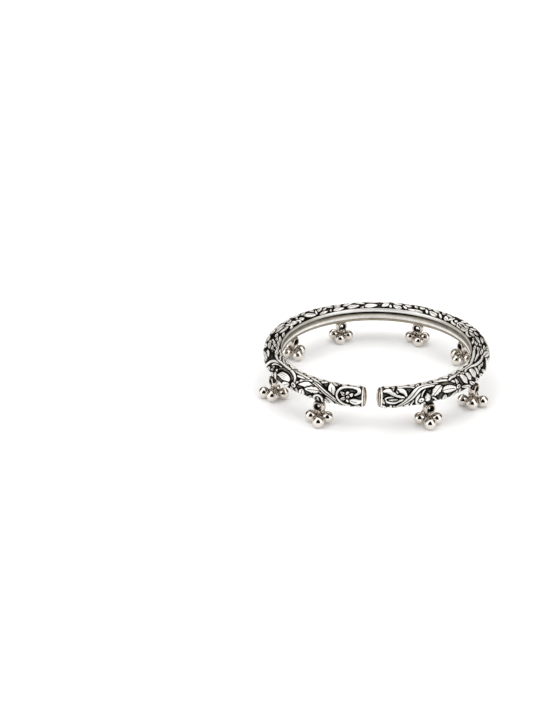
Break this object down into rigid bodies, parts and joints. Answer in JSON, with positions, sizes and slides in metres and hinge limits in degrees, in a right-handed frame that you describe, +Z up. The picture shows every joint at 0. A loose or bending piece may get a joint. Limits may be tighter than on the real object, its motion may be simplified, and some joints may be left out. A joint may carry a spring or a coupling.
{
  "type": "cuff bangle",
  "caption": "Open cuff bangle of oxidised silver: a chased floral tube with a flat inner band and domed ends, and clusters of polished beads hanging from rings soldered under it.",
  "frame": {"origin": "middle of the cuff's footprint, on the surface that its lowest beads stand on", "axes": "+Z up, along the axis of the cuff; -Y out through the gap of the cuff; +X to the right seen from the gap"},
  "size_m": [0.073, 0.0732, 0.0138],
  "materials": {
    "oxidised_silver": "silver with chased leaves and flowers, polished on top and oxidised black in the hollows",
    "polished_silver": "warm polished silver, a little darker where wires meet"
  },
  "bodies": {
    "root": {"cuff": "oxidised_silver", "link_1": "polished_silver", "bead_1_outer": "polished_silver", "bead_1_inner": "polished_silver", "bead_1_right": "polished_silver", "bead_1_left": "polished_silver", "link_2": "polished_silver", "bead_2_outer": "polished_silver", "bead_2_inner": "polished_silver", "bead_2_right": "polished_silver", "bead_2_left": "polished_silver", "link_3": "polished_silver", "bead_3_outer": "polished_silver", "bead_3_inner": "polished_silver", "bead_3_right": "polished_silver", "bead_3_left": "polished_silver", "link_4": "polished_silver", "bead_4_outer": "polished_silver", "bead_4_inner": "polished_silver", "bead_4_right": "polished_silver", "bead_4_left": "polished_silver", "link_5": "polished_silver", "bead_5_outer": "polished_silver", "bead_5_inner": "polished_silver", "bead_5_right": "polished_silver", "bead_5_left": "polished_silver", "link_6": "polished_silver", "bead_6_outer": "polished_silver", "bead_6_inner": "polished_silver", "bead_6_right": "polished_silver", "bead_6_left": "polished_silver", "link_7": "polished_silver", "bead_7_outer": "polished_silver", "bead_7_inner": "polished_silver", "bead_7_right": "polished_silver", "bead_7_left": "polished_silver", "link_8": "polished_silver", "bead_8_outer": "polished_silver", "bead_8_inner": "polished_silver", "bead_8_right": "polished_silver", "bead_8_left": "polished_silver"}
  },
  "joints": []
}
